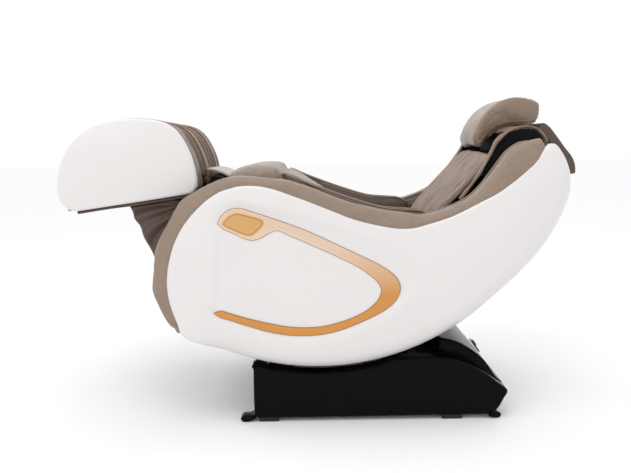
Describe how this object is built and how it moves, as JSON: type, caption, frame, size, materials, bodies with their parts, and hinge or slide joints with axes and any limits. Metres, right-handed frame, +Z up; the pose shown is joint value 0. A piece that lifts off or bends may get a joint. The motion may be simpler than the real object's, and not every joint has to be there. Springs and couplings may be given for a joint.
{
  "type": "massage chair",
  "caption": "Reclined massage chair: a white tub with brown upholstery swings on a black base, with a hinged leg rest and a massage carriage behind the back pad.",
  "frame": {"origin": "on the floor, under the middle of the bounding box", "axes": "+Z up, -X the way the sitter faces, +Y to the sitter's right"},
  "size_m": [1.5954, 0.686, 0.9707],
  "materials": {
    "white_shell": "glossy white moulded shell",
    "black_gloss": "glossy black moulding",
    "tan_leather": "soft tan upholstery leather",
    "brown_leather": "brown upholstery leather",
    "dark_leather": "dark brown upholstery leather",
    "black_fabric": "matt black stretch fabric",
    "gold_trim": "gold-coloured satin metal trim",
    "painted_steel": "dark grey powder coat",
    "bright_steel": "bright drawn bar",
    "grey_plastic": "grey moulding",
    "rubber": "black rubber"
  },
  "bodies": {
    "base": {"base_frame": "painted_steel", "base_cover_left": "black_gloss", "base_cover_right": "black_gloss", "base_rear_hood": "black_gloss", "base_front_cover": "black_gloss", "foot_front_left": "rubber", "foot_front_right": "rubber", "foot_rear_left": "rubber", "foot_rear_right": "rubber", "actuator_housing": "painted_steel", "power_inlet": "grey_plastic"},
    "power_switch": {"power_switch": "rubber"},
    "actuator_rod": {"actuator_rod": "bright_steel"},
    "swing_roller_front_left": {"swing_roller_front_left": "rubber"},
    "swing_roller_front_right": {"swing_roller_front_right": "rubber"},
    "swing_roller_rear_left": {"swing_roller_rear_left": "rubber"},
    "swing_roller_rear_right": {"swing_roller_rear_right": "rubber"},
    "tub": {"side_shell_left": "white_shell", "side_shell_right": "white_shell", "armrest_roll_left": "brown_leather", "armrest_roll_right": "brown_leather", "bottom_cover": "white_shell", "rear_cover": "white_shell", "front_panel": "dark_leather", "seat_frame": "painted_steel", "seat_cushion": "tan_leather", "seat_pan": "black_gloss", "knee_cushion": "tan_leather", "hip_pad_left": "dark_leather", "hip_pad_right": "dark_leather", "knee_tongue": "tan_leather", "knee_bellows": "black_fabric", "back_panel": "black_fabric", "back_pad": "tan_leather", "back_cover": "brown_leather", "back_rail_left": "bright_steel", "back_rail_right": "bright_steel", "air_pump": "grey_plastic", "control_box": "grey_plastic", "leg_motor": "painted_steel", "gold_trim_left": "gold_trim", "gold_trim_right": "gold_trim", "leg_gusset": "dark_leather"},
    "leg_rest": {"calf_cover_left": "white_shell", "calf_cover_right": "white_shell", "calf_wall_left": "brown_leather", "calf_wall_right": "brown_leather", "calf_wall_centre": "brown_leather", "calf_floor": "dark_leather", "calf_bottom_panel": "dark_leather", "leg_hinge": "painted_steel"},
    "headrest": {"headrest_pillow": "tan_leather", "headrest_flap": "dark_leather"},
    "massage_carriage": {"massage_carriage": "grey_plastic"},
    "massage_arm_left": {"massage_arm_left": "painted_steel"},
    "massage_arm_right": {"massage_arm_right": "painted_steel"},
    "massage_ball_lower_left": {"massage_ball_lower_left": "grey_plastic"},
    "massage_ball_lower_right": {"massage_ball_lower_right": "grey_plastic"},
    "massage_ball_upper_left": {"massage_ball_upper_left": "grey_plastic"},
    "massage_ball_upper_right": {"massage_ball_upper_right": "grey_plastic"}
  },
  "joints": [
    {"name": "tub_swing", "type": "hinge", "parent": "base", "child": "tub", "pos_m": [-0.02, 0, 0.914], "axis": [0, -1, 0], "range_deg": [0, 16]},
    {"name": "leg_lift", "type": "hinge", "parent": "tub", "child": "leg_rest", "pos_m": [-0.362, 0, 0.69], "axis": [0, -1, 0], "range_deg": [0, 50], "deforming": ["leg_gusset"]},
    {"name": "headrest_slide", "type": "slide", "parent": "tub", "child": "headrest", "axis": [0.6947, 0, 0.7193], "range_m": [0, 0.03]},
    {"name": "carriage_travel", "type": "slide", "parent": "tub", "child": "massage_carriage", "axis": [0.6947, 0, 0.7193], "range_m": [-0.06, 0.07]},
    {"name": "arm_knead_left", "type": "hinge", "parent": "massage_carriage", "child": "massage_arm_left", "pos_m": [0.45145, 0, 0.66098], "axis": [0, 1, 0], "range_deg": [-6, 6]},
    {"name": "arm_knead_right", "type": "hinge", "parent": "massage_carriage", "child": "massage_arm_right", "pos_m": [0.45145, 0, 0.66098], "axis": [0, 1, 0], "range_deg": [-6, 6]},
    {"name": "ball_spin_lower_left", "type": "hinge", "parent": "massage_arm_left", "child": "massage_ball_lower_left", "pos_m": [0.4195, 0, 0.62789], "axis": [0, 1, 0], "continuous": true},
    {"name": "ball_spin_lower_right", "type": "hinge", "parent": "massage_arm_right", "child": "massage_ball_lower_right", "pos_m": [0.4195, 0, 0.62789], "axis": [0, 1, 0], "continuous": true},
    {"name": "ball_spin_upper_left", "type": "hinge", "parent": "massage_arm_left", "child": "massage_ball_upper_left", "pos_m": [0.48341, 0, 0.69407], "axis": [0, 1, 0], "continuous": true},
    {"name": "ball_spin_upper_right", "type": "hinge", "parent": "massage_arm_right", "child": "massage_ball_upper_right", "pos_m": [0.48341, 0, 0.69407], "axis": [0, 1, 0], "continuous": true},
    {"name": "actuator_stroke", "type": "slide", "parent": "base", "child": "actuator_rod", "axis": [1, 0, 0], "range_m": [0, 0.22]},
    {"name": "roller_spin_front_left", "type": "hinge", "parent": "base", "child": "swing_roller_front_left", "pos_m": [-0.12778, 0, 0.14714], "axis": [0, 1, 0], "range_deg": [0, 548]},
    {"name": "roller_spin_front_right", "type": "hinge", "parent": "base", "child": "swing_roller_front_right", "pos_m": [-0.12778, 0, 0.14714], "axis": [0, 1, 0], "range_deg": [0, 548]},
    {"name": "roller_spin_rear_left", "type": "hinge", "parent": "base", "child": "swing_roller_rear_left", "pos_m": [0.19345, 0, 0.1696], "axis": [0, 1, 0], "range_deg": [0, 548]},
    {"name": "roller_spin_rear_right", "type": "hinge", "parent": "base", "child": "swing_roller_rear_right", "pos_m": [0.19345, 0, 0.1696], "axis": [0, 1, 0], "range_deg": [0, 548]},
    {"name": "switch_rock", "type": "hinge", "parent": "base", "child": "power_switch", "pos_m": [0.51963, -0.001, 0.14547], "axis": [0, 1, 0], "range_deg": [-5, 5]}
  ],
  "couplings": [
    {"joint": "actuator_stroke", "follows": "tub_swing", "m_per_rad": 0.785},
    {"joint": "arm_knead_right", "follows": "arm_knead_left", "ratio": -1},
    {"joint": "roller_spin_front_left", "follows": "tub_swing", "ratio": 34.18},
    {"joint": "roller_spin_front_right", "follows": "tub_swing", "ratio": 34.18},
    {"joint": "roller_spin_rear_left", "follows": "tub_swing", "ratio": 34.18},
    {"joint": "roller_spin_rear_right", "follows": "tub_swing", "ratio": 34.18}
  ]
}
